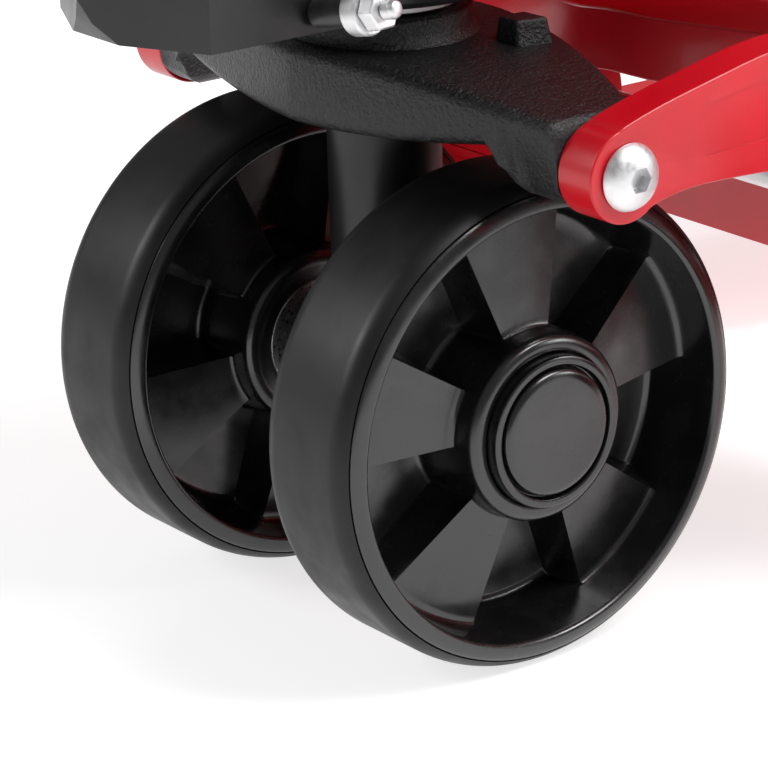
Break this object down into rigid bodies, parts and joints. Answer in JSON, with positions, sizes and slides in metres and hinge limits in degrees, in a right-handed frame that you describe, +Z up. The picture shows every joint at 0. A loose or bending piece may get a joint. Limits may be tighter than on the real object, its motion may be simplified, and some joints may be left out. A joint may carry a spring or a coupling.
{
  "type": "hand pallet truck",
  "caption": "Hand pallet truck with two forks, steerable twin wheels, hydraulic pump unit, lifting linkage and tiller handle.",
  "frame": {"origin": "on the floor under the middle of the whole truck's box", "axes": "+X along the forks towards their tips, +Y the truck's left side, +Z up"},
  "size_m": [1.5767, 0.55, 1.2032],
  "materials": {
    "red_paint": "semi-gloss red powder coat",
    "black_casting": "black painted rough casting",
    "black_paint": "satin black paint",
    "grey_casting": "satin dark grey paint",
    "wheel_core": "moulded dark grey nylon",
    "tread": "solid dark grey tread",
    "zinc": "bright zinc plate",
    "steel": "plain ground steel",
    "chrome": "hard chrome",
    "nylon": "moulded nylon",
    "black_grip": "textured black moulding",
    "red_plastic": "moulded red lever"
  },
  "bodies": {
    "chassis": {"fork_right": "red_paint", "fork_left": "red_paint", "load_stop_plate": "red_paint", "head_plate": "red_paint", "cheek_right": "red_paint", "cheek_left": "red_paint", "front_wall": "red_paint", "top_plate": "red_paint", "tip_pin_right": "steel", "tip_pin_left": "steel"},
    "crank": {"torsion_shaft": "steel", "crank_arm_right": "red_paint", "crank_arm_left": "red_paint", "rod_lever_right": "black_casting", "rod_lever_left": "black_casting"},
    "bracket": {"base_bracket": "black_casting", "pivot_screw_right": "zinc", "pivot_screw_left": "zinc"},
    "pump": {"pump_body": "grey_casting", "front_cover": "grey_casting", "thrust_bearing": "zinc", "gland_nut": "zinc", "filler_plug": "zinc", "adjuster_sleeve": "zinc", "adjuster_nut": "zinc", "adjuster_stud": "zinc", "wheel_axle": "steel", "plunger_spring": "steel"},
    "ram": {"ram": "chrome"},
    "plunger": {"pump_plunger": "chrome", "spring_cap": "steel"},
    "release": {"release_lever": "zinc"},
    "handle": {"handle_base": "black_casting", "handle_pin": "steel", "pump_roller_pin": "steel", "handle_tube": "red_paint", "handle_head": "black_grip", "grip_loop": "black_grip"},
    "pump_roller": {"pump_roller": "steel"},
    "control": {"control_lever": "red_plastic"},
    "push_rod_right": {"push_rod_right": "black_paint"},
    "tip_bracket_right": {"roller_bracket_right": "black_paint", "roller_axle_right": "steel"},
    "load_roller_right": {"load_roller_right": "nylon"},
    "entry_roller_right": {"entry_roller_right": "nylon"},
    "wheel_right": {"wheel_core_right": "wheel_core", "wheel_tread_right": "tread", "outer_bearing_right": "steel", "inner_bearing_right": "steel", "hub_cap_right": "wheel_core"},
    "push_rod_left": {"push_rod_left": "black_paint"},
    "tip_bracket_left": {"roller_bracket_left": "black_paint", "roller_axle_left": "steel"},
    "load_roller_left": {"load_roller_left": "nylon"},
    "entry_roller_left": {"entry_roller_left": "nylon"},
    "wheel_left": {"wheel_core_left": "wheel_core", "wheel_tread_left": "tread", "outer_bearing_left": "steel", "inner_bearing_left": "steel", "hub_cap_left": "wheel_core"}
  },
  "joints": [
    {"name": "lift", "type": "hinge", "parent": "chassis", "child": "crank", "pos_m": [-0.4086, 0, 0.133], "axis": [0, -1, 0], "range_deg": [0, 34.1]},
    {"name": "bracket_level", "type": "hinge", "parent": "crank", "child": "bracket", "pos_m": [-0.5979, 0, 0.1918], "axis": [0, -1, 0], "range_deg": [-34.2, 0]},
    {"name": "steer", "type": "hinge", "parent": "bracket", "child": "pump", "pos_m": [-0.5966, 0, 0.2], "axis": [0, 0, 1], "range_deg": [-84, 84]},
    {"name": "ram_slide", "type": "slide", "parent": "pump", "child": "ram", "axis": [0, 0, 1], "range_m": [0, 0.1163]},
    {"name": "handle_tilt", "type": "hinge", "parent": "pump", "child": "handle", "pos_m": [-0.6586, 0, 0.345], "axis": [0, -1, 0], "range_deg": [0, 75], "stiffness_Nm_per_rad": 15, "springref_deg": -57.3},
    {"name": "pump_roller_spin", "type": "hinge", "parent": "handle", "child": "pump_roller", "pos_m": [-0.68112, 0, 0.358], "axis": [0, 1, 0], "continuous": true},
    {"name": "plunger_stroke", "type": "slide", "parent": "pump", "child": "plunger", "axis": [0, 0, -1], "range_m": [0, 0.0315], "deforming": ["plunger_spring"]},
    {"name": "control", "type": "hinge", "parent": "handle", "child": "control", "pos_m": [-0.76061, 0, 1.07087], "axis": [0, -1, 0], "range_deg": [-12, 12], "stiffness_Nm_per_rad": 0.5},
    {"name": "release", "type": "hinge", "parent": "pump", "child": "release", "pos_m": [-0.5766, 0.0395, 0.318], "axis": [0, 1, 0], "range_deg": [-13, 13]},
    {"name": "wheel_spin_right", "type": "hinge", "parent": "pump", "child": "wheel_right", "pos_m": [-0.5966, -0.0668, 0.09], "axis": [0, 1, 0], "continuous": true},
    {"name": "rod_swing_right", "type": "hinge", "parent": "crank", "child": "push_rod_right", "pos_m": [-0.43059, -0.243, 0.0613], "axis": [0, -1, 0], "range_deg": [-36.4, 0]},
    {"name": "tip_swing_right", "type": "hinge", "parent": "chassis", "child": "tip_bracket_right", "pos_m": [0.6584, -0.195, 0.06], "axis": [0, -1, 0], "range_deg": [0, 58.2]},
    {"name": "load_roller_spin_right", "type": "hinge", "parent": "tip_bracket_right", "child": "load_roller_right", "pos_m": [0.51017, -0.195, 0.03705], "axis": [0, 1, 0], "continuous": true},
    {"name": "entry_roller_spin_right", "type": "hinge", "parent": "chassis", "child": "entry_roller_right", "pos_m": [0.7454, -0.195, 0.038], "axis": [0, 1, 0], "continuous": true},
    {"name": "wheel_spin_left", "type": "hinge", "parent": "pump", "child": "wheel_left", "pos_m": [-0.5966, 0.0668, 0.09], "axis": [0, 1, 0], "continuous": true},
    {"name": "rod_swing_left", "type": "hinge", "parent": "crank", "child": "push_rod_left", "pos_m": [-0.43059, 0.243, 0.0613], "axis": [0, -1, 0], "range_deg": [-36.4, 0]},
    {"name": "tip_swing_left", "type": "hinge", "parent": "chassis", "child": "tip_bracket_left", "pos_m": [0.6584, 0.195, 0.06], "axis": [0, -1, 0], "range_deg": [0, 58.2]},
    {"name": "load_roller_spin_left", "type": "hinge", "parent": "tip_bracket_left", "child": "load_roller_left", "pos_m": [0.51017, 0.195, 0.03705], "axis": [0, 1, 0], "continuous": true},
    {"name": "entry_roller_spin_left", "type": "hinge", "parent": "chassis", "child": "entry_roller_left", "pos_m": [0.7454, 0.195, 0.038], "axis": [0, 1, 0], "continuous": true}
  ],
  "couplings": [
    {"joint": "bracket_level", "follows": "lift", "ratio": -1},
    {"joint": "ram_slide", "follows": "lift", "m_per_rad": 0.19507},
    {"joint": "plunger_stroke", "follows": "handle_tilt", "m_per_rad": 0.024},
    {"joint": "release", "follows": "control", "ratio": 1},
    {"joint": "rod_swing_right", "follows": "lift", "ratio": -1.0628},
    {"joint": "tip_swing_right", "follows": "lift", "ratio": 1.7038},
    {"joint": "rod_swing_left", "follows": "lift", "ratio": -1.0628},
    {"joint": "tip_swing_left", "follows": "lift", "ratio": 1.7038}
  ]
}
